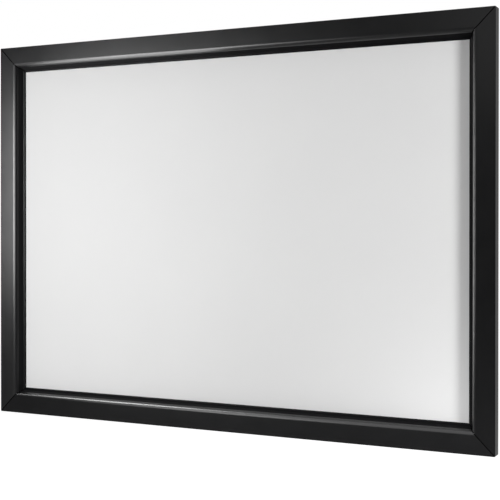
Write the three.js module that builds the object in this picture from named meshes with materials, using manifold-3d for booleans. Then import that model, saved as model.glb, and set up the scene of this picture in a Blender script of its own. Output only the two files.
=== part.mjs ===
// Fixed frame projector screen: four mitred aluminium bars around a white projection fabric.
//
// Millimetres, +X to the viewer's right, +Y back towards the wall, +Z up. The origin lies on the
// wall, straight behind the middle of the picture, so the whole screen is at negative Y.
//
// Each side of the frame is built in a group of its own, in the coordinates of the bar's section:
// local x is the distance inwards from the outer edge, local y the depth behind the front face,
// and local z runs along the bar, with its zero at the bar's middle.
import * as THREE from 'three';
import { mergeVertices } from 'three/addons/utils/BufferGeometryUtils.js';
import Module from 'manifold-3d';

// Picture and bars
const PICTURE_WIDTH = 1500;
const PICTURE_HEIGHT = 1050;
const BAR_WIDTH = 80;
const BAR_DEPTH = 35;
const FABRIC_TO_BACK = 2; // from the fabric's front to the bars' back
const WALL = 2; // of the extrusion
const EDGE_RADIUS = 1; // on the bar's outer front edge
const MITRE_GAP = 0.3;

// Inner side of the bar: a round shoulder, a steep slope and a small round lip at the fabric
const SHOULDER_RADIUS = 13;
const SLOPE_ANGLE = THREE.MathUtils.degToRad(70);
const LIP_HEIGHT = 4.5; // the lip stands this far in front of the fabric, with a round of this radius
const LIP_FLAT = 3; // between the lip's round and its fillet
const LIP_FILLET = 1.5; // where the slope meets the lip

// Open slot in the bar's back, for the corner plates and the wall brackets
const SLOT_WIDTH = 28;
const SLOT_DEPTH = 5;
const OUTER_FLANGE = 10; // how far each flange reaches over the slot from its side
const INNER_FLANGE = 8;
const CLIP_LIP = 5; // flange on the other side of the web, with a return that the clips hook on
const CLIP_LIP_RETURN = 4;

// Fabric, the sleeves welded to its edges and the rods in them
const FABRIC_THICKNESS = 0.4;
const FABRIC_OVERLAP = 10; // behind the lip
const SLEEVE_THICKNESS = 0.4;
const ROD_RADIUS = 2;
const ROD_OVERHANG = 6; // each rod's end shows past its sleeve
const ROD_REACH = 10; // outwards from the fabric's edge to the rod's axis
const CORNER_NOTCH = 10; // between the end of a sleeve and the line of the next side's sleeve

// Tension clips
const CLIP_LENGTH = 22;
const CLIP_WALL = 2;
const CLIP_ARM = 2.6;
const CLIP_MOUTH = THREE.MathUtils.degToRad(130);
const CLIPS_ON_A_RAIL = 7;
const CLIPS_ON_AN_UPRIGHT = 4;

// Corner plates and their set screws
const PLATE_ARM = 120;
const PLATE_THICKNESS = 3;
const SCREW_RADIUS = 2.2;
const SCREW_NEAR = 55; // from the frame's outer edge, along each arm
const SCREW_FAR = 95;
const SCREW_PROUD = 0.6;

// Wall brackets
const BRACKET_LENGTH = 80;
const BRACKET_HEIGHT = 55;
const BRACKET_PLATE = 3;
const BRACKET_LIP = 2;
const BRACKET_LIP_HEIGHT = 7;
const BRACKET_INSET = 330; // from the frame's side to the bracket's middle
const WALL_HOLE_RADIUS = 2.6;
const WALL_HOLE_SPACING = 50;

// Clearances
const FIT = 0.3; // between pieces that slide or snap together
const SEAT = 0.1; // under a piece that bears on another

const ROUND_STEPS = 12; // sides of a rod, a screw or a hole
const SHOULDER_STEPS = 12;
const SMALL_ROUND_STEPS = 4;

const OUTER_WIDTH = PICTURE_WIDTH + 2 * BAR_WIDTH;
const OUTER_HEIGHT = PICTURE_HEIGHT + 2 * BAR_WIDTH;
const FRONT_Y = -(BAR_DEPTH + BRACKET_PLATE);

const PICTURE_SETBACK = BAR_DEPTH - FABRIC_TO_BACK;
const SLOPE = new THREE.Vector2(Math.cos(SLOPE_ANGLE), Math.sin(SLOPE_ANGLE));
const LIP_FRONT = PICTURE_SETBACK - LIP_HEIGHT;
const FILLET_END = BAR_WIDTH - LIP_HEIGHT - LIP_FLAT;
const SLOPE_FOOT = FILLET_END - LIP_FILLET * Math.tan(SLOPE_ANGLE / 2);
const SHOULDER_DROP = SHOULDER_RADIUS * (1 - SLOPE.x);
const SLOPE_TOP = SLOPE_FOOT - (LIP_FRONT - SHOULDER_DROP) * (SLOPE.x / SLOPE.y);
const FACE_WIDTH = SLOPE_TOP - SHOULDER_RADIUS * SLOPE.y; // the flat outer part of the bar's front

const SLOT_FLOOR = BAR_DEPTH - WALL - SLOT_DEPTH;
const WEB_OUTER = WALL + SLOT_WIDTH;
const WEB_INNER = WEB_OUTER + WALL;
const FLANGE_FRONT = BAR_DEPTH - WALL;
const HOOK_GAP_END = WEB_INNER + CLIP_LIP - WALL;
const SLEEVE_RADIUS = ROD_RADIUS + FIT + SLEEVE_THICKNESS;
const SLEEVE_INSET = BAR_WIDTH - FABRIC_OVERLAP;
const ROD_INSET = SLEEVE_INSET - ROD_REACH;
const ARM_BACK = FLANGE_FRONT - CLIP_LIP_RETURN - FIT;
const ROD_DEPTH = ARM_BACK - CLIP_ARM / 2;
const SLEEVE_BACK = PICTURE_SETBACK + FABRIC_THICKNESS + SEAT;
const SLEEVE_ANGLE = Math.atan2(SLEEVE_BACK - ROD_DEPTH, SLEEVE_INSET - ROD_INSET);

const wasm = await Module();
wasm.setup();

function material(name, color, roughness, metalness) {
  return new THREE.MeshStandardMaterial({ name, color, roughness, metalness });
}

const BLACK_COATING = material('black_coating', 0x1b1b1d, 0.38, 0.35);
const STEEL = material('zinc_steel', 0xa6a9ad, 0.4, 0.9);
const SCREW_STEEL = material('dark_screw', 0x2e2f31, 0.45, 0.8);
const SCREEN_WHITE = material('screen_white', 0xf4f4f3, 0.9, 0);
const SLEEVE_GREY = material('sleeve_grey', 0x3a3b3d, 0.85, 0);
const ROD_WHITE = material('glass_fibre', 0xd9d6c8, 0.55, 0);
const CLIP_BLACK = material('clip_plastic', 0x161618, 0.5, 0);
const BRACKET_BLACK = material('bracket_coating', 0x202123, 0.5, 0.3);

function node(parent, name, geometry, look) {
  const mesh = new THREE.Mesh(geometry, look);
  mesh.name = name;
  parent.add(mesh);
  return mesh;
}

// Points of an arc about (cx, cy), from one angle to another, both ends included
function arc(cx, cy, radius, from, to, steps) {
  const points = [];
  for (let i = 0; i <= steps; i += 1) {
    const angle = from + ((to - from) * i) / steps;
    points.push(new THREE.Vector2(cx + radius * Math.cos(angle), cy + radius * Math.sin(angle)));
  }
  return points;
}

function point(x, y) {
  return new THREE.Vector2(x, y);
}

// A many-sided round whose first flat side faces along the given angle
function round(cx, cy, radius, facing = 0) {
  const start = facing + Math.PI / ROUND_STEPS;
  return arc(cx, cy, radius, start, start + 2 * Math.PI, ROUND_STEPS).slice(0, -1);
}

// The section extruded along local z, centred on its middle
function prism(outline, length, holes = []) {
  const shape = new THREE.Shape(outline);
  for (const hole of holes) {
    shape.holes.push(new THREE.Path(hole));
  }
  const geometry = new THREE.ExtrudeGeometry(shape, { depth: 1, bevelEnabled: false, steps: 1 });
  const position = geometry.getAttribute('position');
  for (let i = 0; i < position.count; i += 1) {
    position.setZ(i, (position.getZ(i) - 0.5) * length);
  }
  return geometry;
}

function toSolid(geometry) {
  const bare = new THREE.BufferGeometry();
  bare.setAttribute('position', geometry.getAttribute('position').clone());
  if (geometry.index) {
    bare.setIndex(geometry.index.clone());
  }
  const merged = mergeVertices(bare, 1e-4);
  const vertProperties = new Float32Array(merged.getAttribute('position').array);
  const triVerts = new Uint32Array(merged.index.array);
  return new wasm.Manifold(new wasm.Mesh({ numProp: 3, vertProperties, triVerts }));
}

function toGeometry(solid) {
  const mesh = solid.getMesh();
  const geometry = new THREE.BufferGeometry();
  geometry.setAttribute('position', new THREE.BufferAttribute(mesh.vertProperties.slice(), 3));
  geometry.setIndex(new THREE.BufferAttribute(mesh.triVerts.slice(), 1));
  geometry.computeVertexNormals();
  return geometry;
}

// Front of the bar from its outer back corner to the lip's inner edge
function barFront() {
  return [
    point(0, BAR_DEPTH),
    ...arc(EDGE_RADIUS, EDGE_RADIUS, EDGE_RADIUS, Math.PI, 1.5 * Math.PI, SMALL_ROUND_STEPS),
    ...arc(
      FACE_WIDTH,
      SHOULDER_RADIUS,
      SHOULDER_RADIUS,
      -Math.PI / 2,
      SLOPE_ANGLE - Math.PI / 2,
      SHOULDER_STEPS,
    ),
    ...arc(
      FILLET_END,
      LIP_FRONT - LIP_FILLET,
      LIP_FILLET,
      SLOPE_ANGLE + Math.PI / 2,
      Math.PI / 2,
      SMALL_ROUND_STEPS,
    ),
    ...arc(
      BAR_WIDTH - LIP_HEIGHT,
      PICTURE_SETBACK,
      LIP_HEIGHT,
      -Math.PI / 2,
      0,
      SMALL_ROUND_STEPS + 2,
    ),
  ];
}

// Back of the bar from behind the lip to its outer back corner: the fabric's channel, then the slot
function barBack() {
  const inner = SHOULDER_RADIUS - WALL;
  const wallFoot = point(FACE_WIDTH + inner * SLOPE.y, SHOULDER_RADIUS - inner * SLOPE.x);
  const wallTop = wallFoot.x + (PICTURE_SETBACK - wallFoot.y) * (SLOPE.x / SLOPE.y);
  return [
    point(wallTop, PICTURE_SETBACK),
    ...arc(
      FACE_WIDTH,
      SHOULDER_RADIUS,
      inner,
      SLOPE_ANGLE - Math.PI / 2,
      -Math.PI / 2,
      SHOULDER_STEPS,
    ),
    point(WEB_INNER, WALL),
    point(WEB_INNER, FLANGE_FRONT),
    point(HOOK_GAP_END, FLANGE_FRONT),
    point(HOOK_GAP_END, FLANGE_FRONT - CLIP_LIP_RETURN),
    point(HOOK_GAP_END + WALL, FLANGE_FRONT - CLIP_LIP_RETURN),
    point(HOOK_GAP_END + WALL, BAR_DEPTH),
    point(WEB_OUTER - INNER_FLANGE, BAR_DEPTH),
    point(WEB_OUTER - INNER_FLANGE, FLANGE_FRONT),
    point(WEB_OUTER, FLANGE_FRONT),
    point(WEB_OUTER, SLOT_FLOOR),
    point(WALL, SLOT_FLOOR),
    point(WALL, FLANGE_FRONT),
    point(WALL + OUTER_FLANGE, FLANGE_FRONT),
    point(WALL + OUTER_FLANGE, BAR_DEPTH),
  ];
}

// The box section between the face and the slot's floor
function barCell() {
  return [
    point(WALL, WALL),
    point(WALL, SLOT_FLOOR - WALL),
    point(WEB_OUTER, SLOT_FLOOR - WALL),
    point(WEB_OUTER, WALL),
  ];
}

// One bar, with both ends cut at 45 degrees through the frame's corners
function barGeometry(outerLength) {
  const geometry = prism([...barFront(), ...barBack()], outerLength, [barCell()]);
  const position = geometry.getAttribute('position');
  const half = outerLength / 2 - MITRE_GAP / Math.SQRT2;
  for (let i = 0; i < position.count; i += 1) {
    const end = Math.sign(position.getZ(i));
    position.setZ(i, end * (half - position.getX(i)));
  }
  geometry.computeVertexNormals();
  return geometry;
}

// A sleeve: its lap behind the fabric's edge, its tail, and the tube around the rod
function sleeveGeometry(length) {
  const along = point(Math.cos(SLEEVE_ANGLE), Math.sin(SLEEVE_ANGLE));
  const across = point(-along.y, along.x).multiplyScalar(SLEEVE_THICKNESS / 2);
  const root = point(ROD_INSET, ROD_DEPTH).addScaledVector(along, SLEEVE_RADIUS - SLEEVE_THICKNESS / 2);
  const strip = prism([
    root.clone().sub(across),
    point(SLEEVE_INSET, SLEEVE_BACK),
    point(BAR_WIDTH, SLEEVE_BACK),
    point(BAR_WIDTH, SLEEVE_BACK + SLEEVE_THICKNESS),
    point(SLEEVE_INSET, SLEEVE_BACK + SLEEVE_THICKNESS),
    root.clone().add(across),
  ], length);
  const tube = prism(
    round(ROD_INSET, ROD_DEPTH, SLEEVE_RADIUS, SLEEVE_ANGLE),
    length,
    [round(ROD_INSET, ROD_DEPTH, ROD_RADIUS + FIT, SLEEVE_ANGLE)],
  );
  return toGeometry(toSolid(tube).add(toSolid(strip)));
}

function rodGeometry(length) {
  return prism(round(ROD_INSET, ROD_DEPTH, ROD_RADIUS, SLEEVE_ANGLE), length);
}

// A clip: a snap ring around the sleeve, and an arm that hooks behind the bar's clip lip
function clipGeometry() {
  const bore = SLEEVE_RADIUS + FIT;
  const outside = bore + CLIP_WALL;
  const from = SLEEVE_ANGLE + CLIP_MOUTH / 2;
  const to = SLEEVE_ANGLE - CLIP_MOUTH / 2 + 2 * Math.PI;
  const ring = prism([
    ...arc(ROD_INSET, ROD_DEPTH, outside, from, to, ROUND_STEPS),
    ...arc(ROD_INSET, ROD_DEPTH, bore, to, from, ROUND_STEPS),
  ], CLIP_LENGTH);
  const hookStart = WEB_INNER + FIT;
  const hookEnd = HOOK_GAP_END - FIT;
  const armEnd = ROD_INSET - bore - CLIP_WALL / 2;
  const arm = prism([
    point(hookStart, ARM_BACK - CLIP_ARM),
    point(armEnd, ARM_BACK - CLIP_ARM),
    point(armEnd, ARM_BACK),
    point(hookEnd, ARM_BACK),
    point(hookEnd, FLANGE_FRONT - FIT),
    point(hookStart, FLANGE_FRONT - FIT),
  ], CLIP_LENGTH);
  return toGeometry(toSolid(ring).add(toSolid(arm)));
}

// An L of plate that lies in the slots of two bars. Local x and y run along its arms.
function cornerPlateGeometry() {
  const near = WALL + FIT;
  const far = WEB_OUTER - FIT;
  const middle = (WALL + WEB_OUTER) / 2;
  const shape = new THREE.Shape([
    point(near, near),
    point(PLATE_ARM, near),
    point(PLATE_ARM, far),
    point(far, far),
    point(far, PLATE_ARM),
    point(near, PLATE_ARM),
  ]);
  for (const place of [SCREW_NEAR, SCREW_FAR]) {
    shape.holes.push(new THREE.Path(round(place, middle, SCREW_RADIUS + FIT)));
    shape.holes.push(new THREE.Path(round(middle, place, SCREW_RADIUS + FIT)));
  }
  return new THREE.ExtrudeGeometry(shape, { depth: PLATE_THICKNESS, bevelEnabled: false });
}

function setScrewGeometry() {
  const length = SLOT_DEPTH - SEAT + SCREW_PROUD;
  const shape = new THREE.Shape(round(0, 0, SCREW_RADIUS));
  return new THREE.ExtrudeGeometry(shape, { depth: length, bevelEnabled: false });
}

// A J of plate: its back lies on the wall, and its lip stands in the slot behind the outer flange
function bracketGeometry() {
  const ledge = WALL + OUTER_FLANGE + SEAT;
  const lipBack = FLANGE_FRONT - FIT;
  const plate = prism([
    point(ledge, BAR_DEPTH),
    point(ledge, lipBack),
    point(ledge - BRACKET_LIP_HEIGHT, lipBack),
    point(ledge - BRACKET_LIP_HEIGHT, lipBack - BRACKET_LIP),
    point(ledge + BRACKET_LIP, lipBack - BRACKET_LIP),
    point(ledge + BRACKET_LIP, BAR_DEPTH),
    point(ledge + BRACKET_HEIGHT, BAR_DEPTH),
    point(ledge + BRACKET_HEIGHT, BAR_DEPTH + BRACKET_PLATE),
    point(ledge, BAR_DEPTH + BRACKET_PLATE),
  ], BRACKET_LENGTH);
  let solid = toSolid(plate);
  for (const side of [-1, 1]) {
    const drill = prism(round(0, 0, WALL_HOLE_RADIUS), 4 * BRACKET_PLATE);
    drill.rotateX(Math.PI / 2);
    drill.translate(ledge + BRACKET_HEIGHT / 2, BAR_DEPTH, (side * WALL_HOLE_SPACING) / 2);
    solid = solid.subtract(toSolid(drill));
  }
  return toGeometry(solid);
}

// Everything on one side of the frame, in the coordinates of that side's bar
function addSide(screen, side) {
  const group = new THREE.Group();
  group.position.set(side.x, FRONT_Y, side.z);
  group.rotation.y = side.turn;
  screen.add(group);

  node(group, side.bar, barGeometry(side.length), BLACK_COATING);

  const sleeveLength = side.length - 2 * (BAR_WIDTH + CORNER_NOTCH);
  node(group, `fabric_sleeve_${side.name}`, sleeveGeometry(sleeveLength), SLEEVE_GREY);
  node(group, `tension_rod_${side.name}`, rodGeometry(sleeveLength + 2 * ROD_OVERHANG), ROD_WHITE);

  const clip = clipGeometry();
  for (let i = 0; i < side.clips; i += 1) {
    const mesh = node(group, `tension_clip_${side.name}_${i + 1}`, clip, CLIP_BLACK);
    mesh.position.z = sleeveLength * ((i + 0.5) / side.clips - 0.5);
  }

  const bracket = bracketGeometry();
  for (const [name, place] of side.brackets) {
    const mesh = node(group, `wall_bracket_${side.name}_${name}`, bracket, BRACKET_BLACK);
    mesh.position.z = place;
  }
}

// A corner plate and its four set screws. Each corner is the bottom left one, turned about Y.
function addCorner(screen, corner) {
  const group = new THREE.Group();
  group.position.set(corner.x, FRONT_Y, corner.z);
  group.rotation.y = corner.turn;
  screen.add(group);

  const plate = node(group, `corner_plate_${corner.name}`, cornerPlateGeometry(), STEEL);
  plate.rotation.x = Math.PI / 2;
  plate.position.y = FLANGE_FRONT - SEAT;

  const middle = (WALL + WEB_OUTER) / 2;
  const screw = setScrewGeometry();
  const places = [
    [SCREW_NEAR, middle],
    [SCREW_FAR, middle],
    [middle, SCREW_NEAR],
    [middle, SCREW_FAR],
  ];
  places.forEach(([x, z], i) => {
    const mesh = node(group, `set_screw_${corner.name}_${i + 1}`, screw, SCREW_STEEL);
    mesh.rotation.x = Math.PI / 2;
    mesh.position.set(x, FLANGE_FRONT + SCREW_PROUD, z);
  });
}

function fabricGeometry() {
  const halfWidth = PICTURE_WIDTH / 2 + FABRIC_OVERLAP;
  const outline = [
    point(-halfWidth, PICTURE_SETBACK),
    point(halfWidth, PICTURE_SETBACK),
    point(halfWidth, PICTURE_SETBACK + FABRIC_THICKNESS),
    point(-halfWidth, PICTURE_SETBACK + FABRIC_THICKNESS),
  ];
  return prism(outline, PICTURE_HEIGHT + 2 * FABRIC_OVERLAP);
}

const RIGHT = OUTER_WIDTH / 2;
const TOP = OUTER_HEIGHT / 2;
const QUARTER = Math.PI / 2;
const BRACKETS = [
  ['left', BRACKET_INSET - RIGHT],
  ['right', RIGHT - BRACKET_INSET],
];

const SIDES = [
  {
    name: 'left',
    bar: 'frame_left_bar',
    x: -RIGHT,
    z: 0,
    turn: 0,
    length: OUTER_HEIGHT,
    clips: CLIPS_ON_AN_UPRIGHT,
    brackets: [],
  },
  {
    name: 'top',
    bar: 'frame_top_rail',
    x: 0,
    z: TOP,
    turn: QUARTER,
    length: OUTER_WIDTH,
    clips: CLIPS_ON_A_RAIL,
    brackets: BRACKETS,
  },
  {
    name: 'right',
    bar: 'frame_right_bar',
    x: RIGHT,
    z: 0,
    turn: 2 * QUARTER,
    length: OUTER_HEIGHT,
    clips: CLIPS_ON_AN_UPRIGHT,
    brackets: [],
  },
  {
    name: 'bottom',
    bar: 'frame_bottom_rail',
    x: 0,
    z: -TOP,
    turn: -QUARTER,
    length: OUTER_WIDTH,
    clips: CLIPS_ON_A_RAIL,
    brackets: BRACKETS.map(([name, place]) => [name, -place]),
  },
];

const CORNERS = [
  { name: 'bottom_left', x: -RIGHT, z: -TOP, turn: 0 },
  { name: 'top_left', x: -RIGHT, z: TOP, turn: QUARTER },
  { name: 'top_right', x: RIGHT, z: TOP, turn: 2 * QUARTER },
  { name: 'bottom_right', x: RIGHT, z: -TOP, turn: -QUARTER },
];

const screen = new THREE.Group();
screen.name = 'fixed_frame_screen';
for (const side of SIDES) {
  addSide(screen, side);
}
for (const corner of CORNERS) {
  addCorner(screen, corner);
}
const fabric = node(screen, 'projection_fabric', fabricGeometry(), SCREEN_WHITE);
fabric.position.y = FRONT_Y;

export default screen;
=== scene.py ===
"""Looks of a fixed frame projector screen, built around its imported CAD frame.

Everything is in metres in the frame's own axes: +X to the viewer's right, +Y back to the wall and
+Z up. Each side of the screen is built in the coordinates of its bar's section, as the CAD part is:
local x runs inwards from the bar's outer edge, local y is the depth behind its front face, and
local z runs along the bar from its middle.
"""
import math

import bpy
from mathutils import Matrix, Vector
from mathutils.geometry import tessellate_polygon


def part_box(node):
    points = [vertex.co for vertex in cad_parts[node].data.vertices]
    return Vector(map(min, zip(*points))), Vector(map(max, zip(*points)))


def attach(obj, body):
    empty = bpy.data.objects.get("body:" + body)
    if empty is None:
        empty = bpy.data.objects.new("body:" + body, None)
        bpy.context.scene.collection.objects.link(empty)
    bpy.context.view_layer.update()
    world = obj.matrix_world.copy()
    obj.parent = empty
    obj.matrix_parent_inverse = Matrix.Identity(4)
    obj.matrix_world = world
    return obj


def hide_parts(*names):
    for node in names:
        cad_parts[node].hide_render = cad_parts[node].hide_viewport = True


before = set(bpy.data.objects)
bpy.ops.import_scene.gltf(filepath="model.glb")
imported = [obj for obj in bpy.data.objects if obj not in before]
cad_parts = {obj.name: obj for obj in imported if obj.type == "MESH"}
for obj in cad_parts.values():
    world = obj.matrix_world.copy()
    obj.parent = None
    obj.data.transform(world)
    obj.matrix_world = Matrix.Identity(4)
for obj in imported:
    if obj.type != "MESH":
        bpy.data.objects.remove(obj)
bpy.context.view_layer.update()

# Sizes read from the frame
left_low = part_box("frame_left_bar")[0]
rail_low, rail_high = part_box("frame_top_rail")
fabric_low, fabric_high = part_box("projection_fabric")
OUTER_X = -left_low.x
OUTER_Z = rail_high.z
FRONT_Y = rail_low.y
BAR_WIDTH = rail_high.z - rail_low.z
BAR_DEPTH = rail_high.y - rail_low.y
PICTURE_SETBACK = fabric_low.y - FRONT_Y
FABRIC_THICKNESS = fabric_high.y - fabric_low.y
FABRIC_OVERLAP = fabric_high.x - (OUTER_X - BAR_WIDTH)

# Section of the bars
WALL = 0.002
EDGE_RADIUS = 0.001
CORNER_RADIUS = 0.0003
MITRE_GAP = 0.0003
MITRE_CHAMFER = 0.0018
MITRE_CHAMFER_DEPTH = 0.0007
SHOULDER_RADIUS = 0.013
SLOPE_ANGLE = math.radians(70)
LIP_HEIGHT = 0.0045
LIP_FLAT = 0.003
LIP_FILLET = 0.0015
SLOT_WIDTH = 0.028
SLOT_DEPTH = 0.005
OUTER_FLANGE = 0.010
INNER_FLANGE = 0.008
CLIP_LIP = 0.005
CLIP_LIP_RETURN = 0.004

# Fabric, sleeves and rods
SLEEVE_THICKNESS = 0.0004
ROD_RADIUS = 0.002
ROD_OVERHANG = 0.006
ROD_REACH = 0.010
ROD_CHAMFER = 0.0003
CORNER_NOTCH = 0.010
SAG = 0.00015

# Clips
CLIP_LENGTH = 0.022
CLIP_WALL = 0.002
CLIP_ARM = 0.0026
CLIP_MOUTH = math.radians(130)
CLIP_CHAMFER = 0.0004
CLIP_CHAMFER_DEPTH = 0.0002
RIB_PLACES = (0.047, 0.044, 0.041)
RIB_WIDTH = 0.0008
RIB_HEIGHT = 0.0005

# Corner plates and set screws
PLATE_ARM = 0.120
PLATE_THICKNESS = 0.003
PLATE_CHAMFER = 0.0003
SCREW_RADIUS = 0.0022
SCREW_NEAR = 0.055
SCREW_FAR = 0.095
SCREW_PROUD = 0.0006
SOCKET_RADIUS = 0.00125
SOCKET_DEPTH = 0.002

# Wall brackets
BRACKET_LENGTH = 0.080
BRACKET_HEIGHT = 0.055
BRACKET_PLATE = 0.003
BRACKET_LIP = 0.002
BRACKET_LIP_HEIGHT = 0.007
BRACKET_BEND = 0.0012
BRACKET_CHAMFER = 0.0006
BRACKET_CHAMFER_DEPTH = 0.0003
WALL_HOLE_RADIUS = 0.0026
WALL_HOLE_SPACING = 0.050
COUNTERSINK_RADIUS = 0.0046

# Gaps between pieces
FIT = 0.0003
SEAT = 0.0001

# Edges sharper than this stay sharp in the shading
SHARP_ANGLE = math.radians(35)

# Places in the sections, from the sizes above
SLOPE = Vector((math.cos(SLOPE_ANGLE), math.sin(SLOPE_ANGLE)))
LIP_FRONT = PICTURE_SETBACK - LIP_HEIGHT
FILLET_END = BAR_WIDTH - LIP_HEIGHT - LIP_FLAT
SLOPE_FOOT = FILLET_END - LIP_FILLET * math.tan(SLOPE_ANGLE / 2)
SLOPE_START = SLOPE_FOOT - LIP_FRONT * SLOPE.x / SLOPE.y
SLOPE_TOP = SLOPE_START + SHOULDER_RADIUS * (1 - SLOPE.x) * SLOPE.x / SLOPE.y
SLOT_FLOOR = BAR_DEPTH - WALL - SLOT_DEPTH
WEB_OUTER = WALL + SLOT_WIDTH
WEB_INNER = WEB_OUTER + WALL
FLANGE_FRONT = BAR_DEPTH - WALL
HOOK_GAP_END = WEB_INNER + CLIP_LIP - WALL
SLEEVE_RADIUS = ROD_RADIUS + FIT + SLEEVE_THICKNESS
SLEEVE_INSET = BAR_WIDTH - FABRIC_OVERLAP
ROD_INSET = SLEEVE_INSET - ROD_REACH
SCREW_LENGTH = SLOT_DEPTH - SEAT + SCREW_PROUD
ARM_BACK = FLANGE_FRONT - CLIP_LIP_RETURN - FIT
ROD_DEPTH = ARM_BACK - CLIP_ARM / 2
SLEEVE_BACK = PICTURE_SETBACK + FABRIC_THICKNESS + SEAT
SLEEVE_ANGLE = math.atan2(SLEEVE_BACK - ROD_DEPTH, SLEEVE_INSET - ROD_INSET)

# The places of a bar's materials in its list
COATED = 0
LINED = 1
# The sawn ends' material is painted shade: darker and duller than the coating, for the mitre's
# groove
SAWN_PAINTED_SHADE = 2
DULL = 3

# lip_flat is the material of the lip's flat. glossy_slope is the share of the slope that is still
# coated, before the matt lining starts.
QUARTER = math.pi / 2
SIDES = {
    "left": dict(
        bar="frame_left_bar", x=-OUTER_X, z=0, turn=0, half=OUTER_Z,
        lip_flat=COATED, glossy_slope=0.12,
    ),
    "top": dict(
        bar="frame_top_rail", x=0, z=OUTER_Z, turn=QUARTER, half=OUTER_X,
        lip_flat=DULL, glossy_slope=0.12,
    ),
    "right": dict(
        bar="frame_right_bar", x=OUTER_X, z=0, turn=2 * QUARTER, half=OUTER_Z,
        lip_flat=COATED, glossy_slope=0.12,
    ),
    "bottom": dict(
        bar="frame_bottom_rail", x=0, z=-OUTER_Z, turn=-QUARTER, half=OUTER_X,
        lip_flat=DULL, glossy_slope=0.35,
    ),
}
CORNERS = {
    "bottom_left": dict(x=-OUTER_X, z=-OUTER_Z, turn=0),
    "top_left": dict(x=-OUTER_X, z=OUTER_Z, turn=QUARTER),
    "top_right": dict(x=OUTER_X, z=OUTER_Z, turn=2 * QUARTER),
    "bottom_right": dict(x=OUTER_X, z=-OUTER_Z, turn=-QUARTER),
}


def place_of(spot):
    """The matrix that puts a side's or a corner's local coordinates in the frame."""
    move = Matrix.Translation((spot["x"], FRONT_Y, spot["z"]))
    return move @ Matrix.Rotation(spot["turn"], 4, "Y")


# Camera
CAMERA_PLACE = Vector((1.544, -2.984, 0.021))
CAMERA_YAW = math.radians(26.15)
CAMERA_PITCH = math.radians(0.32)
CAMERA_ROLL = 0.0003
CAMERA_LENS = 79.56
CAMERA_SHIFT_Y = -0.0401


def add_camera():
    data = bpy.data.cameras.new("camera")
    data.lens = CAMERA_LENS
    data.sensor_width = 36
    data.shift_y = CAMERA_SHIFT_Y
    camera = bpy.data.objects.new("camera", data)
    bpy.context.scene.collection.objects.link(camera)
    turn = Matrix.Rotation(CAMERA_YAW, 4, "Z")
    tilt = Matrix.Rotation(QUARTER - CAMERA_PITCH, 4, "X")
    roll = Matrix.Rotation(CAMERA_ROLL, 4, "Z")
    camera.matrix_world = Matrix.Translation(CAMERA_PLACE) @ turn @ tilt @ roll
    bpy.context.scene.camera = camera


# Sections
def rounded(corners, step=math.radians(6)):
    """The outline through these corners, each (x, y, radius of its round)."""
    outline = []
    for i, (x, y, radius) in enumerate(corners):
        corner = Vector((x, y))
        if not radius:
            outline.append(corner)
            continue
        back = (Vector(corners[i - 1][:2]) - corner).normalized()
        ahead = (Vector(corners[(i + 1) % len(corners)][:2]) - corner).normalized()
        opening = back.angle(ahead)
        centre = corner + (back + ahead).normalized() * (radius / math.sin(opening / 2))
        start = corner + back * (radius / math.tan(opening / 2)) - centre
        end = corner + ahead * (radius / math.tan(opening / 2)) - centre
        turn = math.atan2(start.cross(end), start.dot(end))
        steps = max(2, math.ceil(abs(turn) / step))
        for k in range(steps + 1):
            outline.append(centre + Matrix.Rotation(turn * k / steps, 2) @ start)
    return outline


def arc(x, y, radius, start, end, steps):
    """Points on an arc, both ends included."""
    angles = [start + (end - start) * k / steps for k in range(steps + 1)]
    return [Vector((x + radius * math.cos(a), y + radius * math.sin(a))) for a in angles]


def circle(x, y, radius, steps=32):
    return arc(x, y, radius, 0, 2 * math.pi, steps)[:-1]


def moved_in(outline, distance, sharpest=0.4):
    """The outline moved into the solid, which lies to the left of its direction. sharpest keeps a
    sharp corner from moving too far."""
    moved = []
    for i, point in enumerate(outline):
        back = (point - outline[i - 1]).normalized()
        ahead = (outline[(i + 1) % len(outline)] - point).normalized()
        normals = [Vector((-d.y, d.x)) for d in (back, ahead)]
        middle = (normals[0] + normals[1]).normalized()
        moved.append(point + middle * (distance / max(sharpest, middle.dot(normals[0]))))
    return moved


# Meshes
def add_object(name, vertices, faces, materials, face_materials=None):
    mesh = bpy.data.meshes.new(name)
    mesh.from_pydata(vertices, [], faces)
    for material in materials:
        mesh.materials.append(material)
    if face_materials:
        mesh.polygons.foreach_set("material_index", face_materials)
    mesh.polygons.foreach_set("use_smooth", [True] * len(faces))
    mesh.set_sharp_from_angle(angle=SHARP_ANGLE)
    obj = bpy.data.objects.new(name, mesh)
    bpy.context.scene.collection.objects.link(obj)
    return obj


def extrude(name, loops, stations, materials, choose=None, end_material=0):
    """A solid along z. loops are the section's outline, counter-clockwise, and its holes,
    clockwise. Each station is (inset, place): how far the section is moved in, and place(x), its z.
    choose(middle of an outline edge) picks that edge's material, if not the first. end_material is
    for the ends and the breaks of their edges."""
    vertices = []
    faces = []
    picks = []
    count = sum(len(loop) for loop in loops)
    for inset, place in stations:
        for loop in loops:
            for point in moved_in(loop, inset) if inset else loop:
                vertices.append((point.x, point.y, place(point.x)))
    for ring in range(len(stations) - 1):
        first = ring * count
        breaks_edge = stations[ring][0] != stations[ring + 1][0]
        for number, loop in enumerate(loops):
            for i in range(len(loop)):
                j = (i + 1) % len(loop)
                faces.append((first + i, first + j, first + count + j, first + count + i))
                middle = (loop[i] + loop[j]) / 2
                pick = choose(middle) if choose and number == 0 else 0
                picks.append(end_material if breaks_edge else pick)
            first += len(loop)
    points = [point for loop in loops for point in loop]
    last = (len(stations) - 1) * count
    for a, b, c in tessellate_polygon([[p.to_3d() for p in loop] for loop in loops]):
        turn = (points[b] - points[a]).cross(points[c] - points[a])
        if turn < 0:
            b, c = c, b
        faces.append((last + a, last + b, last + c))
        faces.append((c, b, a))
        picks += [end_material, end_material]
    return add_object(name, vertices, faces, materials, picks)


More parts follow.
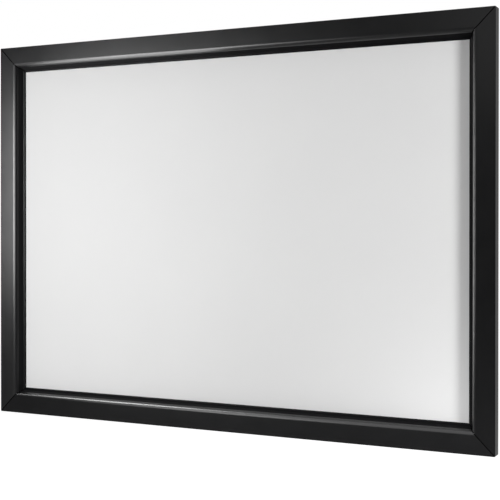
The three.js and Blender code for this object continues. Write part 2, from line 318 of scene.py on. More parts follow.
def straight(length, chamfer=0.0, inset=None):
    """Stations of a prism with square ends, their edges broken by a small chamfer."""
    half = length / 2
    if not chamfer:
        return [(0, lambda x: -half), (0, lambda x: half)]
    inset = chamfer if inset is None else inset
    return [
        (inset, lambda x: -half),
        (0, lambda x: chamfer - half),
        (0, lambda x: half - chamfer),
        (inset, lambda x: half),
    ]


def shade_flats(obj):
    """Keeps flat faces flat in the shading, beside the rounds."""
    normals = obj.modifiers.new("normals", "WEIGHTED_NORMAL")
    normals.keep_sharp = True


def settle(obj, matrix, slot, *nodes):
    """Puts a finished piece in the frame in place of its CAD nodes."""
    obj.matrix_world = matrix
    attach(obj, "root")
    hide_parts(*nodes)
    return obj


# Materials
class Shader:
    """One material's node tree, with short calls for the nodes that are used here."""

    def __init__(self, name, roughness, specular=0.5, metallic=0.0):
        self.material = bpy.data.materials.new(name)
        self.material.use_nodes = True
        self.tree = self.material.node_tree
        self.surface = self.tree.nodes["Principled BSDF"]
        self.surface.inputs["Roughness"].default_value = roughness
        self.surface.inputs["Specular IOR Level"].default_value = specular
        self.surface.inputs["Metallic"].default_value = metallic
        self.object_coordinates = self.add("ShaderNodeTexCoord").outputs["Object"]
        self.height = None

    def add(self, kind, inputs=None, **settings):
        node = self.tree.nodes.new(kind)
        for name, value in settings.items():
            setattr(node, name, value)
        for name, value in (inputs or {}).items():
            self.feed(node.inputs[name], value)
        return node

    def feed(self, socket, value):
        if isinstance(value, bpy.types.NodeSocket):
            self.tree.links.new(value, socket)
        else:
            socket.default_value = value

    def stretched(self, scale):
        mapping = self.add("ShaderNodeMapping", {"Vector": self.object_coordinates, "Scale": scale})
        return mapping.outputs["Vector"]

    def noise(self, scale, detail=2.0, roughness=0.5):
        """Noise from 0 to 1. scale is per metre, one number or one for each local axis."""
        vector = self.stretched(scale) if isinstance(scale, tuple) else self.object_coordinates
        inputs = {
            "Vector": vector,
            "Scale": 1.0 if isinstance(scale, tuple) else scale,
            "Detail": detail,
            "Roughness": roughness,
        }
        return self.add("ShaderNodeTexNoise", inputs).outputs["Fac"]

    def between(self, value, low, high, start=0.3, end=0.7):
        """Maps value from start..end to low..high, and holds it there outside."""
        inputs = {"Value": value, "From Min": start, "From Max": end, "To Min": low, "To Max": high}
        return self.add("ShaderNodeMapRange", inputs).outputs["Result"]

    def math(self, operation, first, second=0.0):
        return self.add("ShaderNodeMath", {0: first, 1: second}, operation=operation).outputs[0]

    def blend(self, share, first, second):
        """A colour between two, each three numbers or a socket."""
        node = self.add("ShaderNodeMix", data_type="RGBA")
        self.feed(node.inputs["Factor"], share)
        self.feed(node.inputs["A"], (*first, 1) if isinstance(first, tuple) else first)
        self.feed(node.inputs["B"], (*second, 1) if isinstance(second, tuple) else second)
        return node.outputs["Result"]

    def colour(self, value):
        self.feed(self.surface.inputs["Base Color"], value)

    def roughness(self, value):
        self.feed(self.surface.inputs["Roughness"], value)

    def bump(self, height, depth, strength=1.0):
        """Adds relief. depth is in metres."""
        inputs = {"Height": height, "Distance": depth, "Strength": strength}
        node = self.add("ShaderNodeBump", inputs)
        if self.height:
            self.feed(node.inputs["Normal"], self.height)
        self.height = node.outputs["Normal"]
        self.feed(self.surface.inputs["Normal"], self.height)


def satin_coating(name="satin_coating", specular=0.42, smooth_from=0.29, smooth_to=0.33):
    """Satin black coating over an extrusion, with faint draw lines along the bar."""
    shader = Shader(name, roughness=smooth_from, specular=specular)
    lines = shader.noise((900, 900, 5), detail=3)
    grain = shader.noise(2600, detail=2)
    wear = shader.noise(9, detail=4, roughness=0.6)
    patches = shader.between(wear, 0, 1)
    shader.colour(shader.blend(patches, (0.0035, 0.0035, 0.004), (0.0055, 0.0055, 0.006)))
    smooth = shader.between(wear, smooth_from, smooth_to)
    shader.roughness(shader.math("ADD", smooth, shader.between(lines, -0.02, 0.02)))
    shader.bump(grain, 0.00001, 0.25)
    shader.bump(lines, 0.00001, 0.2)
    return shader.material


def light_trap():
    """Matt black lining of the slope, which keeps the picture's light out of the frame."""
    shader = Shader("light_trap", roughness=0.75, specular=0.03)
    pile = shader.noise(3200, detail=3, roughness=0.6)
    shader.colour(shader.blend(pile, (0.005, 0.005, 0.0055), (0.011, 0.011, 0.0115)))
    shader.bump(pile, 0.00006, 0.6)
    return shader.material


def sawn_end_painted_shade():
    """The sawn ends at the mitres and their broken edges, painted dull and dark as the shade in the
    mitre's groove.
    """
    shader = Shader("sawn_end_painted_shade", roughness=0.9, specular=0.0)
    marks = shader.noise((60, 1500, 60), detail=2)
    shader.colour(shader.blend(marks, (0.002, 0.002, 0.002), (0.004, 0.004, 0.004)))
    shader.bump(marks, 0.00002, 0.5)
    return shader.material


def screen_front():
    """Matt white face of the fabric, with its fine grain."""
    shader = Shader("screen_front", roughness=0.85, specular=0.2)
    threads = []
    for axis in ("X", "Z"):
        wave = shader.add(
            "ShaderNodeTexWave",
            {"Vector": shader.object_coordinates, "Scale": 220.0, "Distortion": 0.6, "Detail": 1.0},
            bands_direction=axis,
        )
        threads.append(wave.outputs["Fac"])
    weave = shader.math("MULTIPLY", threads[0], threads[1])
    grain = shader.noise(1400, detail=2)
    cloud = shader.noise(2.2, detail=3)
    tone = shader.blend(shader.between(cloud, 0, 1), (0.845, 0.845, 0.845), (0.865, 0.865, 0.862))
    shader.colour(shader.blend(shader.between(grain, 0, 0.12), tone, (0.80, 0.80, 0.80)))
    shader.bump(weave, 0.00003, 0.35)
    shader.bump(grain, 0.00002, 0.3)
    return shader.material


def screen_back():
    """Dark backing of the fabric."""
    shader = Shader("screen_back", roughness=0.8, specular=0.25)
    weave = shader.noise((1500, 1500, 1500), detail=2)
    cloud = shader.noise(5, detail=3)
    patches = shader.between(cloud, 0, 1)
    shader.colour(shader.blend(patches, (0.050, 0.051, 0.053), (0.056, 0.057, 0.059)))
    shader.bump(weave, 0.00005, 0.5)
    return shader.material


def welded_strip():
    """Dark fabric of the sleeves, with the welding bar's pattern pressed into the lap."""
    shader = Shader("welded_strip", roughness=0.6, specular=0.35)
    weave = shader.noise((1100, 1100, 1100), detail=2)
    split = shader.add("ShaderNodeSeparateXYZ", {"Vector": shader.object_coordinates})
    inwards = split.outputs["X"]
    lap = shader.math(
        "MULTIPLY",
        shader.between(inwards, 0, 1, SLEEVE_INSET + 0.001, SLEEVE_INSET + 0.0015),
        shader.between(inwards, 1, 0, BAR_WIDTH - 0.0035, BAR_WIDTH - 0.003),
    )
    dashes = shader.add(
        "ShaderNodeTexWave",
        {"Vector": shader.object_coordinates, "Scale": 160.0},
        bands_direction="DIAGONAL",
    )
    pressed = shader.math("MULTIPLY", lap, shader.between(dashes.outputs["Fac"], 0, 1, 0.4, 0.6))
    tone = shader.blend(weave, (0.03, 0.03, 0.032), (0.05, 0.05, 0.053))
    shader.colour(shader.blend(pressed, tone, (0.022, 0.022, 0.024)))
    shader.bump(weave, 0.00006, 0.5)
    shader.bump(shader.math("SUBTRACT", 1.0, pressed), 0.00015, 0.8)
    return shader.material


def glass_fibre():
    """Pulled glass fibre rod, with its fibres running along it."""
    shader = Shader("glass_fibre", roughness=0.42, specular=0.5)
    fibres = shader.noise((2200, 2200, 14), detail=3)
    shader.colour(shader.blend(fibres, (0.60, 0.57, 0.46), (0.78, 0.76, 0.68)))
    shader.bump(fibres, 0.00003, 0.4)
    return shader.material


def moulded_plastic():
    """Black moulded plastic, slightly textured."""
    shader = Shader("moulded_plastic", roughness=0.48, specular=0.5)
    grain = shader.noise(2400, detail=2)
    flow = shader.noise(90, detail=2)
    shader.colour(shader.blend(flow, (0.016, 0.016, 0.017), (0.026, 0.026, 0.027)))
    shader.roughness(shader.between(flow, 0.42, 0.55))
    shader.bump(grain, 0.00003, 0.4)
    return shader.material


def zinc_plate():
    """Bright zinc on steel, with its mottled grain and rolling marks."""
    shader = Shader("zinc_plate", roughness=0.38, metallic=1.0)
    spangle = shader.noise(110, detail=2)
    marks = shader.noise((1800, 60, 60), detail=2)
    tone = shader.blend(shader.between(spangle, 0, 1), (0.55, 0.56, 0.58), (0.64, 0.65, 0.67))
    shader.colour(shader.blend(shader.between(marks, 0, 0.25), tone, (0.46, 0.47, 0.49)))
    shader.roughness(shader.between(spangle, 0.30, 0.46))
    shader.bump(marks, 0.00001, 0.3)
    return shader.material


def dark_screw_steel():
    """Black oxide on steel, in random darker and lighter patches."""
    shader = Shader("dark_screw_steel", roughness=0.4, metallic=0.9)
    stain = shader.noise(700, detail=3)
    patches = shader.between(stain, 0, 1)
    shader.colour(shader.blend(patches, (0.05, 0.05, 0.055), (0.13, 0.13, 0.135)))
    shader.roughness(shader.between(stain, 0.32, 0.5))
    return shader.material


def powder_coat():
    """Black powder coat with fine orange peel."""
    shader = Shader("powder_coat", roughness=0.5, specular=0.5)
    peel = shader.noise(900, detail=2)
    wear = shader.noise(60, detail=3)
    patches = shader.between(wear, 0, 1)
    shader.colour(shader.blend(patches, (0.02, 0.02, 0.022), (0.03, 0.03, 0.032)))
    shader.roughness(shader.between(wear, 0.44, 0.56))
    shader.bump(peel, 0.00005, 0.5)
    return shader.material


# Bars
def bar_section(lining_start):
    """The bar's outline from its outer back corner, round the front, and back along its slots.
    Its slope has a point where the matt lining starts."""
    web_foot = SHOULDER_RADIUS - WALL
    cavity_top = (SLOPE_TOP - WALL * SLOPE.y, SHOULDER_RADIUS * (1 - SLOPE.x) + WALL * SLOPE.x)
    wall_back = cavity_top[0] + (PICTURE_SETBACK - cavity_top[1]) * SLOPE.x / SLOPE.y
    wall_start = wall_back - (PICTURE_SETBACK - WALL) * SLOPE.x / SLOPE.y
    r = CORNER_RADIUS
    front = [
        (0, BAR_DEPTH, r),
        (0, 0, EDGE_RADIUS),
        (SLOPE_START, 0, SHOULDER_RADIUS),
        (lining_start, (lining_start - SLOPE_START) * SLOPE.y / SLOPE.x, 0),
        (SLOPE_FOOT, LIP_FRONT, LIP_FILLET),
        (BAR_WIDTH, LIP_FRONT, LIP_HEIGHT),
        (BAR_WIDTH, PICTURE_SETBACK, 0),
    ]
    back = [
        (wall_back, PICTURE_SETBACK, 0),
        (wall_start, WALL, web_foot),
        (WEB_INNER, WALL, r),
        (WEB_INNER, FLANGE_FRONT, r),
        (HOOK_GAP_END, FLANGE_FRONT, r),
        (HOOK_GAP_END, FLANGE_FRONT - CLIP_LIP_RETURN, r),
        (HOOK_GAP_END + WALL, FLANGE_FRONT - CLIP_LIP_RETURN, r),
        (HOOK_GAP_END + WALL, BAR_DEPTH, r),
        (WEB_OUTER - INNER_FLANGE, BAR_DEPTH, r),
        (WEB_OUTER - INNER_FLANGE, FLANGE_FRONT, r),
        (WEB_OUTER, FLANGE_FRONT, r),
        (WEB_OUTER, SLOT_FLOOR, r),
        (WALL, SLOT_FLOOR, r),
        (WALL, FLANGE_FRONT, r),
        (WALL + OUTER_FLANGE, FLANGE_FRONT, r),
        (WALL + OUTER_FLANGE, BAR_DEPTH, r),
    ]
    return rounded(front + back, step=math.radians(4))


def bar_cell():
    """The closed cell between the face and the slot's floor, clockwise."""
    r = CORNER_RADIUS
    return rounded([
        (WALL, WALL, r),
        (WALL, SLOT_FLOOR - WALL, r),
        (WEB_OUTER, SLOT_FLOOR - WALL, r),
        (WEB_OUTER, WALL, r),
    ])


def add_bar(side, materials):
    """One bar, mitred at both ends, with a small break of the mitre's edges, painted dark as the
    shade in the mitre's groove. The slope has a matt lining, and the round of the lip is dull."""
    half = side["half"] - MITRE_GAP / math.sqrt(2)
    lining_start = SLOPE_TOP + side["glossy_slope"] * (SLOPE_FOOT - SLOPE_TOP)
    stations = [
        (MITRE_CHAMFER_DEPTH, lambda x: x - half),
        (0, lambda x: x - half + MITRE_CHAMFER),
        (0, lambda x: half - x - MITRE_CHAMFER),
        (MITRE_CHAMFER_DEPTH, lambda x: half - x),
    ]

    def choose(middle):
        on_front = middle.y < (middle.x - SLOPE_START) * SLOPE.y / SLOPE.x + EDGE_RADIUS
        if not on_front or middle.x < lining_start:
            return COATED
        if middle.x < FILLET_END:
            return LINED
        return side["lip_flat"] if middle.x < BAR_WIDTH - LIP_HEIGHT else DULL

    loops = [bar_section(lining_start), bar_cell()]
    # The mitre ends and their chamfers take the darker matt material, painted shade of the mitre's
    # groove
    bar = extrude(side["bar"] + "_coated", loops, stations, materials, choose, end_material=SAWN_PAINTED_SHADE)
    shade_flats(bar)
    return settle(bar, place_of(side), "frame_coating", side["bar"])


# Fabric
def add_fabric(front, back):
    """The sheet, with both faces a hair's breadth hollow between the bars. Its back and rim are
    dark."""
    columns = 76
    rows = 54
    half_x = fabric_high.x
    half_z = fabric_high.z
    vertices = []
    for layer in (0, 1):
        for row in range(rows + 1):
            for column in range(columns + 1):
                across = 2 * column / columns - 1
                up = 2 * row / rows - 1
                hollow = SAG * (1 - across**2) * (1 - up**2)
                depth = fabric_low.y + hollow + layer * (FABRIC_THICKNESS - 2 * hollow)
                vertices.append((across * half_x, depth, up * half_z))
    faces = []
    picks = []
    width = columns + 1
    other = width * (rows + 1)
    for row in range(rows):
        for column in range(columns):
            a = row * width + column
            b, c, d = a + 1, a + 1 + width, a + width
            faces += [(a, b, c, d), (other + d, other + c, other + b, other + a)]
            picks += [0, 1]
    rim = [(0, c) for c in range(columns)]
    rim += [(r, columns) for r in range(rows)]
    rim += [(rows, c) for c in range(columns, 0, -1)]
    rim += [(r, 0) for r in range(rows, 0, -1)]
    ring = [r * width + c for r, c in rim]
    for i, a in enumerate(ring):
        b = ring[(i + 1) % len(ring)]
        faces.append((b, a, other + a, other + b))
        picks.append(1)
    fabric = add_object("fabric_sheet", vertices, faces, [front, back], picks)
    settle(fabric, Matrix(), "screen_fabric", "projection_fabric")


def add_sleeve(name, side, material):
    """A strip folded round the rod and welded behind the fabric's edge."""
    along = Vector((math.cos(SLEEVE_ANGLE), math.sin(SLEEVE_ANGLE)))
    across = Vector((-along.y, along.x)) * (SLEEVE_THICKNESS / 2)
    axis = Vector((ROD_INSET, ROD_DEPTH))
    spread = math.asin(SLEEVE_THICKNESS / 2 / SLEEVE_RADIUS)
    around = arc(
        axis.x, axis.y, SLEEVE_RADIUS,
        SLEEVE_ANGLE + spread, SLEEVE_ANGLE - spread + 2 * math.pi, 40,
    )
    bend = Vector((SLEEVE_INSET, SLEEVE_BACK))
    outline = around + [
        bend,
        Vector((BAR_WIDTH, SLEEVE_BACK)),
        Vector((BAR_WIDTH, SLEEVE_BACK + SLEEVE_THICKNESS)),
        bend + across * 2,
    ]
    bore = list(reversed(circle(axis.x, axis.y, ROD_RADIUS + FIT, 36)))
    length = 2 * (side["half"] - BAR_WIDTH - CORNER_NOTCH)
    sleeve = extrude(f"sleeve_{name}", [outline, bore], straight(length), [material])
    shade_flats(sleeve)
    node = f"fabric_sleeve_{name}"
    settle(sleeve, place_of(side), "sleeve_fabric", node)


def add_rod(name, side, material):
    length = 2 * (side["half"] - BAR_WIDTH - CORNER_NOTCH + ROD_OVERHANG)
    outline = circle(ROD_INSET, ROD_DEPTH, ROD_RADIUS, 28)
    rod = extrude(f"rod_{name}", [outline], straight(length, ROD_CHAMFER), [material])
    shade_flats(rod)
    settle(rod, place_of(side), "glass_fibre", f"tension_rod_{name}")


# Clips
def clip_section():
    """A snap ring with an arm that hooks behind the bar's clip lip, counter-clockwise."""
    bore = SLEEVE_RADIUS + FIT
    outside = bore + CLIP_WALL
    start = SLEEVE_ANGLE + CLIP_MOUTH / 2
    end = SLEEVE_ANGLE - CLIP_MOUTH / 2 + 2 * math.pi
    arm = math.asin((ARM_BACK - ROD_DEPTH) / outside)
    tip = CLIP_WALL / 2
    middle = bore + tip
    x, y = ROD_INSET, ROD_DEPTH

    def round_tip(angle, first):
        centre_x = x + middle * math.cos(angle)
        centre_y = y + middle * math.sin(angle)
        return arc(centre_x, centre_y, tip, first, first + math.pi, 8)[1:-1]

    ribs = []
    for middle_x in RIB_PLACES:
        ribs += [
            (middle_x + RIB_WIDTH, ARM_BACK, 0.0001),
            (middle_x + RIB_WIDTH / 2, ARM_BACK + RIB_HEIGHT, 0.0002),
            (middle_x - RIB_WIDTH / 2, ARM_BACK + RIB_HEIGHT, 0.0002),
            (middle_x - RIB_WIDTH, ARM_BACK, 0.0001),
        ]
    hook = rounded([
        (ROD_INSET, ARM_BACK, 0),
        *ribs,
        (HOOK_GAP_END - FIT, ARM_BACK, 0.0006),
        (HOOK_GAP_END - FIT, FLANGE_FRONT - FIT, 0.0006),
        (WEB_INNER + FIT, FLANGE_FRONT - FIT, 0.0006),
        (WEB_INNER + FIT, ARM_BACK - CLIP_ARM, 0.0009),
        (ROD_INSET, ARM_BACK - CLIP_ARM, 0),
    ])[1:-1]
    return (
        arc(x, y, outside, start, math.pi - arm, 8)
        + hook
        + arc(x, y, outside, math.pi + arm, end, 16)
        + round_tip(end, end)
        + arc(x, y, bore, end, start, 24)
        + round_tip(start, start + math.pi)
    )


def add_clip(node, side, material):
    low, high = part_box(node)
    middle = place_of(side).inverted() @ ((low + high) / 2)
    stations = straight(CLIP_LENGTH, CLIP_CHAMFER, CLIP_CHAMFER_DEPTH)
    clip = extrude(node + "_moulded", [clip_section()], stations, [material])
    shade_flats(clip)
    place = place_of(side) @ Matrix.Translation((0, 0, middle.z))
    settle(clip, place, "clip_plastic", node)


# Corner plates and set screws
def add_plate(name, corner, material):
    near = WALL + FIT
    far = WEB_OUTER - FIT
    middle = (WALL + WEB_OUTER) / 2
    outline = rounded([
        (near, near, 0.002),
        (PLATE_ARM, near, 0.002),
        (PLATE_ARM, far, 0.002),
        (far, far, 0.001),
        (far, PLATE_ARM, 0.002),
        (near, PLATE_ARM, 0.002),
    ])
    distances = (SCREW_NEAR, SCREW_FAR)
    places = [(d, middle) for d in distances] + [(middle, d) for d in distances]
    holes = [list(reversed(circle(a, b, SCREW_RADIUS + FIT, 32))) for a, b in places]
    stations = straight(PLATE_THICKNESS, PLATE_CHAMFER)
    plate = extrude(f"plate_{name}", [outline, *holes], stations, [material])
    shade_flats(plate)
    lay_flat = Matrix.Rotation(QUARTER, 4, "X")
    depth = Matrix.Translation((0, FLANGE_FRONT - SEAT - PLATE_THICKNESS / 2, 0))
    settle(plate, place_of(corner) @ depth @ lay_flat, "zinc_steel", f"corner_plate_{name}")
    return places


def add_screw(name, matrix, material):
    """A set screw with a hexagon socket in its outer end, which faces local +z."""
    sides = 36
    length = SCREW_LENGTH
    edge = 0.00025

    def ring(radius, z, hexagon=False):
        points = []
        for i in range(sides):
            angle = 2 * math.pi * i / sides
            reach = radius
            if hexagon:
                from_corner = angle % (math.pi / 3) - math.pi / 6
                reach = radius * math.cos(math.pi / 6) / math.cos(from_corner)
            points.append((reach * math.cos(angle), reach * math.sin(angle), z))
        return points

    rings = [
        ring(SCREW_RADIUS - 3 * edge, 0),
        ring(SCREW_RADIUS, 3 * edge),
        ring(SCREW_RADIUS, length - edge),
        ring(SCREW_RADIUS - edge, length),
        ring(SOCKET_RADIUS + 0.0001, length, True),
        ring(SOCKET_RADIUS, length - 0.0001, True),
        ring(SOCKET_RADIUS, length - SOCKET_DEPTH, True),
    ]
    vertices = [point for points in rings for point in points]
    faces = [tuple(reversed(range(sides)))]
    for k in range(len(rings) - 1):
        for i in range(sides):
            j = (i + 1) % sides
            faces.append((k * sides + i, k * sides + j, (k + 1) * sides + j, (k + 1) * sides + i))
    last = (len(rings) - 1) * sides
    faces.append(tuple(last + i for i in range(sides)))
    screw = add_object(name + "_socket", vertices, faces, [material])
    shade_flats(screw)
    settle(screw, matrix, "screw_steel", name)


# Wall brackets
def cut(obj, cutter):
    """Takes the cutter's shape out of obj, and removes the cutter."""
    bpy.context.view_layer.update()
    boolean = obj.modifiers.new("cut", "BOOLEAN")
    boolean.operation = "DIFFERENCE"
    boolean.solver = "EXACT"
    boolean.object = cutter
    graph = bpy.context.evaluated_depsgraph_get()
    mesh = bpy.data.meshes.new_from_object(obj.evaluated_get(graph))
    obj.modifiers.clear()
    obj.data = mesh
    mesh.set_sharp_from_angle(angle=SHARP_ANGLE)
    bpy.data.objects.remove(cutter)


def drill_stations():
    """A countersunk hole from the plate's front, along local z."""
    cone = COUNTERSINK_RADIUS - WALL_HOLE_RADIUS
    overrun = 0.001
    return [
        (0, lambda x: -overrun),
        (0, lambda x: 0),
        (cone, lambda x: cone),
        (cone, lambda x: BRACKET_PLATE + overrun),
    ]


def add_bracket(node, side, material):
    ledge = WALL + OUTER_FLANGE + SEAT
    lip_back = FLANGE_FRONT - FIT
    outline = rounded([
        (ledge, BAR_DEPTH, 0),
        (ledge, lip_back, 0.0002),
        (ledge - BRACKET_LIP_HEIGHT, lip_back, 0.0005),
        (ledge - BRACKET_LIP_HEIGHT, lip_back - BRACKET_LIP, 0.0005),
        (ledge + BRACKET_LIP, lip_back - BRACKET_LIP, BRACKET_BEND),
        (ledge + BRACKET_LIP, BAR_DEPTH, BRACKET_BEND / 2),
        (ledge + BRACKET_HEIGHT, BAR_DEPTH, 0.0005),
        (ledge + BRACKET_HEIGHT, BAR_DEPTH + BRACKET_PLATE, 0.0005),
        (ledge, BAR_DEPTH + BRACKET_PLATE, BRACKET_BEND),
    ])
    low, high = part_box(node)
    middle = place_of(side).inverted() @ ((low + high) / 2)
    stations = straight(BRACKET_LENGTH, BRACKET_CHAMFER, BRACKET_CHAMFER_DEPTH)
    bracket = extrude(node + "_coated", [outline], stations, [material])
    for end in (-1, 1):
        drill = extrude("drill", [circle(0, 0, COUNTERSINK_RADIUS)], drill_stations(), [material])
        hole = (ledge + BRACKET_HEIGHT / 2, BAR_DEPTH, end * WALL_HOLE_SPACING / 2)
        drill.matrix_world = Matrix.Translation(hole) @ Matrix.Rotation(-QUARTER, 4, "X")
        cut(bracket, drill)
    shade_flats(bracket)
    place = place_of(side) @ Matrix.Translation((0, 0, middle.z))
    settle(bracket, place, "bracket_coating", node)


# Lights, world and floor
def add_lamp(name, place, target, size, radiance, gloss=True):
    """A soft rectangular lamp of that radiance, which the camera doesn't see."""
    data = bpy.data.lights.new(name, "AREA")
    data.shape = "RECTANGLE"
    data.size, data.size_y = size
    data.energy = math.pi * size[0] * size[1] * radiance
    lamp = bpy.data.objects.new(name, data)
    lamp.location = place
    lamp.rotation_euler = (Vector(target) - Vector(place)).to_track_quat("-Z", "Y").to_euler()
    lamp.visible_camera = False
    lamp.visible_glossy = gloss
    bpy.context.scene.collection.objects.link(lamp)
    return lamp


def add_rim_lamp(side, number, lit, place, target, size, radiance):
    """A lamp that shows in one bar's gloss only, so it brightens no matt surface."""
    lamp = add_lamp(f"rim_{side}_{number}", place, target, size, radiance)
    lamp.visible_diffuse = False
    lamp.light_linking.receiver_collection = lit


# The soft lamps that light everything. size is a lamp's width and height.
LAMPS = {
    "key": dict(
        place=(-0.7, -1.31, 0.12), target=(-0.5, 0, 0.1),
        size=(0.57, 0.88), radiance=6.8,
    ),
    "fill": dict(
        place=(-1.1, -3.6, 0.1), target=(0, 0, 0),
        size=(3.0, 3.0), radiance=0.25, gloss=False,
    ),
    "right_box": dict(
        place=(2.6, -1.06, 0.25), target=(0.3, 0, 0),
        size=(0.43, 1.4), radiance=22.0, gloss=False,
    ),
    "low_right": dict(
        place=(0.74, -0.34, -0.6), target=(0.7, 0, -0.5),
        size=(0.25, 0.2), radiance=2.2, gloss=False,
    ),
    "low_left": dict(
        place=(-0.55, -0.5, -0.7), target=(-0.5, 0, -0.45),
        size=(0.5, 0.2), radiance=0.45, gloss=False,
    ),
    "overhead": dict(
        place=(-1.0, -0.45, 2.2), target=(0.1, 0, -0.3),
        size=(0.8, 0.5), radiance=3.0, gloss=False,
    ),
    "back": dict(
        place=(-0.6, 2.6, 1.9), target=(0, 0, 0),
        size=(2.0, 1.2), radiance=4.5,
    ),
}
# A lamp that shows in both bars at the top right corner
CORNER_PANEL = dict(
    place=(0.55, -1.8, 0.9), target=(0.78, -0.035, 0.55),
    size=(0.75, 0.68), radiance=0.75,
)
# The lamps that show in one bar's gloss only, listed by bar
RIM_LAMPS = {
    "left": [
        dict(
            place=(-1.169, -1.139, 0.15), target=(-0.775, -0.035, 0.15),
            size=(0.425, 0.709), radiance=29.5,
        ),
        dict(
            place=(-0.638, -1.041, 0.209), target=(-0.775, -0.035, 0.209),
            size=(1.098, 0.695), radiance=2.5,
        ),
    ],
    "top": [
        dict(
            place=(-1.24, -1.272, 0.15), target=(-1.24, -0.035, 0.55),
            size=(0.2, 1.154), radiance=24,
        ),
        dict(
            place=(-0.52, -0.127, 0.294), target=(-0.52, -0.035, 0.55),
            size=(0.72, 1.007), radiance=7.2,
        ),
        CORNER_PANEL,
    ],
    "right": [
        dict(
            place=(-2.217, -0.3, 0.031), target=(0.775, -0.035, 0.031),
            size=(0.546, 1.503), radiance=19,
        ),
        CORNER_PANEL,
    ],
    "bottom": [
        dict(
            place=(-1.27, -0.187, 0.903), target=(-1.27, -0.035, -0.55),
            size=(0.75, 0.788), radiance=29,
        ),
        dict(
            place=(0.237, -0.219, -0.291), target=(0.237, -0.035, -0.55),
            size=(1.97, 0.574), radiance=1.8,
        ),
    ],
}
# Brightness of the studio in front of the screen, above, below and behind it
WORLD_AHEAD = 0.06
WORLD_ABOVE = 0.40
WORLD_BELOW = 0.34
WORLD_BEHIND_SCREEN = 0.2
# Share of the white background that gloss shows
BACKGROUND_IN_GLOSS = 0.25
FLOOR_Z = -1.35
FLOOR_SIZE = 14
FLOOR_LIFT = 0.78


def add_world():
    """White to the camera. Everything else sees a soft studio, darkest at the camera's side."""
    world = bpy.data.worlds.new("studio")
    bpy.context.scene.world = world
    world.use_nodes = True
    tree = world.node_tree
    tree.nodes.clear()

    def add(kind, inputs=None, **settings):
        node = tree.nodes.new(kind)
        for name, value in settings.items():
            setattr(node, name, value)
        for name, value in (inputs or {}).items():
            if isinstance(value, bpy.types.NodeSocket):
                tree.links.new(value, node.inputs[name])
            else:
                node.inputs[name].default_value = value
        return node

    def ramp(value, start, end, low, high):
        inputs = {"Value": value, "From Min": start, "From Max": end, "To Min": low, "To Max": high}
        return add("ShaderNodeMapRange", inputs, interpolation_type="SMOOTHSTEP").outputs["Result"]

    def calculate(operation, first, second):
        return add("ShaderNodeMath", {0: first, 1: second}, operation=operation).outputs[0]

    direction = add("ShaderNodeTexCoord").outputs["Generated"]
    split = add("ShaderNodeSeparateXYZ", {"Vector": direction})
    above = ramp(split.outputs["Z"], 0.05, 0.7, 0, WORLD_ABOVE - WORLD_AHEAD)
    below = ramp(split.outputs["Z"], -0.6, -0.05, WORLD_BELOW - WORLD_AHEAD, 0)
    front = calculate("ADD", calculate("ADD", above, below), WORLD_AHEAD)
    behind = ramp(split.outputs["Y"], -0.1, 0.6, 0, 1)
    strength = add("ShaderNodeMix", {"Factor": behind, "A": front, "B": WORLD_BEHIND_SCREEN})
    studio = add("ShaderNodeBackground", {"Strength": strength.outputs["Result"]})
    white = add("ShaderNodeBackground", {"Color": (1, 1, 1, 1), "Strength": 1.0})
    rays = add("ShaderNodeLightPath")
    mirrored = calculate("ADD", rays.outputs["Is Glossy Ray"], rays.outputs["Is Transmission Ray"])
    mirrored = calculate("MULTIPLY", calculate("MULTIPLY", mirrored, behind), BACKGROUND_IN_GLOSS)
    share = calculate("MAXIMUM", rays.outputs["Is Camera Ray"], mirrored)
    mix = add("ShaderNodeMixShader", {0: share, 1: studio.outputs[0], 2: white.outputs[0]})
    output = add("ShaderNodeOutputWorld")
    tree.links.new(mix.outputs[0], output.inputs["Surface"])


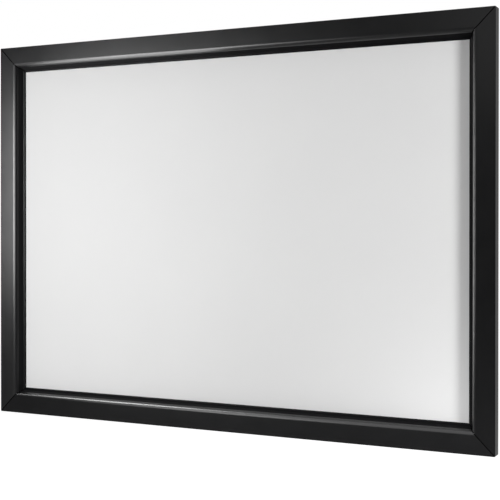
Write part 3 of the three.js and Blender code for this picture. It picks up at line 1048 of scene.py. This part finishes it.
def add_floor():
    """Plain pale floor. To the camera it is lifted to the background's white, less its shadows."""
    shader = Shader("pale_floor", roughness=0.9, specular=0.1)
    cloud = shader.noise(0.8, detail=2)
    shader.colour(shader.blend(cloud, (0.80, 0.80, 0.80), (0.82, 0.82, 0.82)))
    rays = shader.add("ShaderNodeLightPath").outputs
    split = shader.add("ShaderNodeSeparateXYZ", {"Vector": shader.object_coordinates})
    behind = shader.between(split.outputs["Y"], 0, BACKGROUND_IN_GLOSS, 0, 1)
    mirrored = shader.math("ADD", rays["Is Glossy Ray"], rays["Is Transmission Ray"])
    mirrored = shader.math("MULTIPLY", mirrored, behind)
    share = shader.math("MAXIMUM", rays["Is Camera Ray"], mirrored)
    lift = shader.math("MULTIPLY", share, FLOOR_LIFT)
    shader.feed(shader.surface.inputs["Emission Color"], (1, 1, 1, 1))
    shader.feed(shader.surface.inputs["Emission Strength"], lift)
    half = FLOOR_SIZE / 2
    corners = [(-half, -half), (half, -half), (half, half), (-half, half)]
    vertices = [(x, y, FLOOR_Z) for x, y in corners]
    floor = add_object("floor", vertices, [(0, 1, 2, 3)], [shader.material])


# The screen
add_camera()
coating = satin_coating()
lip_coating = satin_coating("lip_coating", 0.06, 0.55, 0.60)
bar_materials = [coating, light_trap(), sawn_end_painted_shade(), lip_coating]
fabric_front = screen_front()
fabric_back = screen_back()
strip = welded_strip()
rod_material = glass_fibre()
plastic = moulded_plastic()
zinc = zinc_plate()
screw_material = dark_screw_steel()
bracket_material = powder_coat()

bars = {}
for name, side in SIDES.items():
    bars[name] = add_bar(side, bar_materials)
    add_sleeve(name, side, strip)
    add_rod(name, side, rod_material)
    for node in sorted(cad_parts):
        if node.startswith(f"tension_clip_{name}_"):
            add_clip(node, side, plastic)
        if node.startswith(f"wall_bracket_{name}_"):
            add_bracket(node, side, bracket_material)
for name, corner in CORNERS.items():
    places = add_plate(name, corner, zinc)
    for number, (x, z) in enumerate(places, 1):
        at = Matrix.Translation((x, FLANGE_FRONT + SCREW_PROUD - SCREW_LENGTH, z))
        stand = place_of(corner) @ at @ Matrix.Rotation(-QUARTER, 4, "X")
        add_screw(f"set_screw_{name}_{number}", stand, screw_material)
add_fabric(fabric_front, fabric_back)

add_world()
for name, lamp in LAMPS.items():
    add_lamp(name, **lamp)
for name, lamps in RIM_LAMPS.items():
    lit = bpy.data.collections.new("lit_by_rim_" + name)
    lit.objects.link(bars[name])
    for number, lamp in enumerate(lamps, 1):
        add_rim_lamp(name, number, lit, **lamp)
add_floor()
bpy.context.scene.view_settings.view_transform = "Standard"
